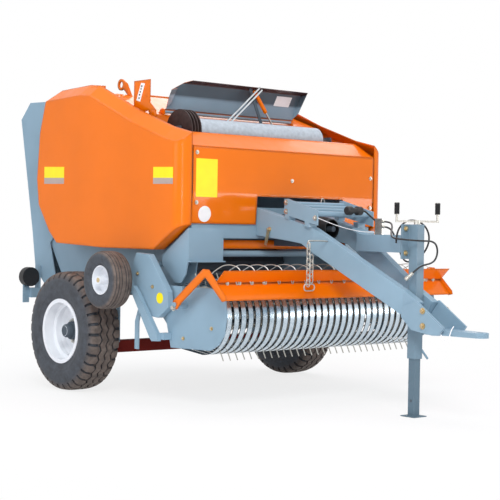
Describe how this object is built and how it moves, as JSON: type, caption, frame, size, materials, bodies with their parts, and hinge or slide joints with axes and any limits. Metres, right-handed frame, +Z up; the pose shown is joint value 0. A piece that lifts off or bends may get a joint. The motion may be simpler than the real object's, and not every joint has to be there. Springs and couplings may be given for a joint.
{
  "type": "round baler",
  "caption": "Towed round baler with tined pickup, hinged tailgate and side panels, gauge wheels, open net-box lid and a parking jack on an A-shaped drawbar",
  "frame": {"origin": "on the ground, midway along and across the machine's box", "axes": "+X is the machine's left, -Y is the way it is towed, +Z is up"},
  "size_m": [2.31, 3.8499, 2.124],
  "materials": {
    "orange": "semi-gloss paint",
    "blue_grey": "semi-gloss paint",
    "dark_grey": "satin paint",
    "galvanised": "galvanised",
    "bare_steel": "bare steel",
    "rim_white": "gloss paint",
    "maroon": "satin paint",
    "tyre_rubber": "rubber",
    "black_plastic": "moulded",
    "chrome_rod": "polished"
  },
  "bodies": {
    "chassis": {"axle_beam": "maroon", "chamber_side_right": "blue_grey", "chamber_side_left": "blue_grey", "chamber_rollers": "dark_grey", "hinge_pins": "bare_steel", "front_frame": "blue_grey", "intake_hood": "orange", "drawbar_arm_right": "blue_grey", "drawbar_arm_left": "blue_grey", "hitch": "blue_grey", "jack_tube": "blue_grey", "jack_crank": "black_plastic", "jack_bracket": "blue_grey", "step_platform": "blue_grey", "gearbox": "dark_grey", "shaft_guard": "black_plastic", "front_panel": "orange", "top_deck": "orange", "drive_cover_right": "blue_grey", "drive_cover_left": "blue_grey", "rotor_tub": "dark_grey", "guard_chain": "galvanised", "net_bearings": "dark_grey", "bale_gauge": "orange", "side_pins": "bare_steel"},
    "wheel_right": {"tyre_right": "tyre_rubber", "rim_right": "rim_white"},
    "wheel_left": {"tyre_left": "tyre_rubber", "rim_left": "rim_white"},
    "tailgate": {"tailgate_side_right": "blue_grey", "tailgate_side_left": "blue_grey", "tailgate_skin": "blue_grey", "tailgate_rollers": "dark_grey", "light_bar": "blue_grey"},
    "gate_cylinder_right": {"gate_barrel_right": "orange"},
    "gate_cylinder_left": {"gate_barrel_left": "orange"},
    "gate_piston_right": {"gate_ram_right": "chrome_rod"},
    "gate_piston_left": {"gate_ram_left": "chrome_rod"},
    "pickup": {"pickup_frame": "blue_grey", "pickup_bands": "galvanised"},
    "pickup_reel": {"reel": "bare_steel"},
    "gauge_wheel_right": {"gauge_tyre_right": "tyre_rubber", "gauge_rim_right": "rim_white"},
    "gauge_wheel_left": {"gauge_tyre_left": "tyre_rubber", "gauge_rim_left": "rim_white"},
    "guard": {"crop_guard": "orange"},
    "rotor": {"feed_rotor": "dark_grey"},
    "lid": {"net_lid": "blue_grey"},
    "lid_barrel": {"strut_barrel": "orange"},
    "lid_rod": {"strut_rod": "chrome_rod"},
    "roller": {"net_roller": "dark_grey"},
    "panel_right": {"side_panel_right": "orange"},
    "panel_left": {"side_panel_left": "orange"},
    "parking_leg": {"jack_leg": "blue_grey"}
  },
  "joints": [
    {"name": "wheel_right_spin", "type": "hinge", "parent": "chassis", "child": "wheel_right", "pos_m": [-0.97, 0.782, 0.395], "axis": [1, 0, 0], "continuous": true},
    {"name": "wheel_left_spin", "type": "hinge", "parent": "chassis", "child": "wheel_left", "pos_m": [0.97, 0.782, 0.395], "axis": [1, 0, 0], "continuous": true},
    {"name": "tailgate_lift", "type": "hinge", "parent": "chassis", "child": "tailgate", "pos_m": [0, 0.982, 1.93], "axis": [1, 0, 0], "range_deg": [0, 65]},
    {"name": "gate_cylinder_right_swing", "type": "hinge", "parent": "chassis", "child": "gate_cylinder_right", "pos_m": [-0.757, 0.482, 1.25], "axis": [1, 0, 0], "range_deg": [0, 6]},
    {"name": "gate_piston_right_slide", "type": "slide", "parent": "gate_cylinder_right", "child": "gate_piston_right", "axis": [0, 0.7372, 0.6757], "range_m": [0, 0.17]},
    {"name": "gate_cylinder_left_swing", "type": "hinge", "parent": "chassis", "child": "gate_cylinder_left", "pos_m": [0.757, 0.482, 1.25], "axis": [1, 0, 0], "range_deg": [0, 6]},
    {"name": "gate_piston_left_slide", "type": "slide", "parent": "gate_cylinder_left", "child": "gate_piston_left", "axis": [0, 0.7372, 0.6757], "range_m": [0, 0.17]},
    {"name": "pickup_lift", "type": "hinge", "parent": "chassis", "child": "pickup", "pos_m": [0, 0.022, 0.64], "axis": [1, 0, 0], "range_deg": [0, 26]},
    {"name": "reel_spin", "type": "hinge", "parent": "pickup", "child": "pickup_reel", "pos_m": [0, -0.48, 0.56], "axis": [1, 0, 0], "continuous": true},
    {"name": "gauge_wheel_right_spin", "type": "hinge", "parent": "pickup", "child": "gauge_wheel_right", "pos_m": [-1.0775, 0.24, 0.755], "axis": [1, 0, 0], "continuous": true},
    {"name": "gauge_wheel_left_spin", "type": "hinge", "parent": "pickup", "child": "gauge_wheel_left", "pos_m": [1.0775, 0.24, 0.755], "axis": [1, 0, 0], "continuous": true},
    {"name": "crop_guard_lift", "type": "hinge", "parent": "pickup", "child": "guard", "pos_m": [0, -0.341, 0.627], "axis": [-1, 0, 0], "range_deg": [0, 10]},
    {"name": "feed_rotor_spin", "type": "hinge", "parent": "chassis", "child": "rotor", "pos_m": [0, 0.002, 0.64], "axis": [1, 0, 0], "continuous": true},
    {"name": "net_lid_close", "type": "hinge", "parent": "chassis", "child": "lid", "pos_m": [0, 0.367, 1.862], "axis": [1, 0, 0], "range_deg": [0, 40]},
    {"name": "lid_barrel_swing", "type": "hinge", "parent": "lid", "child": "lid_barrel", "pos_m": [0.104, 0.222, 2.03], "axis": [-0.4374, -0.8585, -0.2678], "range_deg": [0, 20]},
    {"name": "lid_rod_slide", "type": "slide", "parent": "lid_barrel", "child": "lid_rod", "axis": [0.5805, -0.0421, -0.8132], "range_m": [-0.092, 0]},
    {"name": "net_roller_spin", "type": "hinge", "parent": "chassis", "child": "roller", "pos_m": [0, 0.082, 1.715], "axis": [1, 0, 0], "continuous": true},
    {"name": "side_panel_right_open", "type": "hinge", "parent": "chassis", "child": "panel_right", "pos_m": [-0.78, 0.807, 2.03], "axis": [0, 1, 0], "range_deg": [0, 65]},
    {"name": "side_panel_left_open", "type": "hinge", "parent": "chassis", "child": "panel_left", "pos_m": [0.78, 0.807, 2.03], "axis": [0, -1, 0], "range_deg": [0, 65]},
    {"name": "jack_leg_slide", "type": "slide", "parent": "chassis", "child": "parking_leg", "axis": [0, 0, 1], "range_m": [0, 0.28]}
  ],
  "couplings": [
    {"joint": "gate_cylinder_right_swing", "follows": "tailgate_lift", "ratio": 0.073911},
    {"joint": "gate_piston_right_slide", "follows": "tailgate_lift", "m_per_rad": 0.14075},
    {"joint": "gate_cylinder_left_swing", "follows": "tailgate_lift", "ratio": 0.073911},
    {"joint": "gate_piston_left_slide", "follows": "tailgate_lift", "m_per_rad": 0.14075},
    {"joint": "lid_barrel_swing", "follows": "net_lid_close", "ratio": 0.48639},
    {"joint": "lid_rod_slide", "follows": "net_lid_close", "m_per_rad": -0.12876}
  ]
}
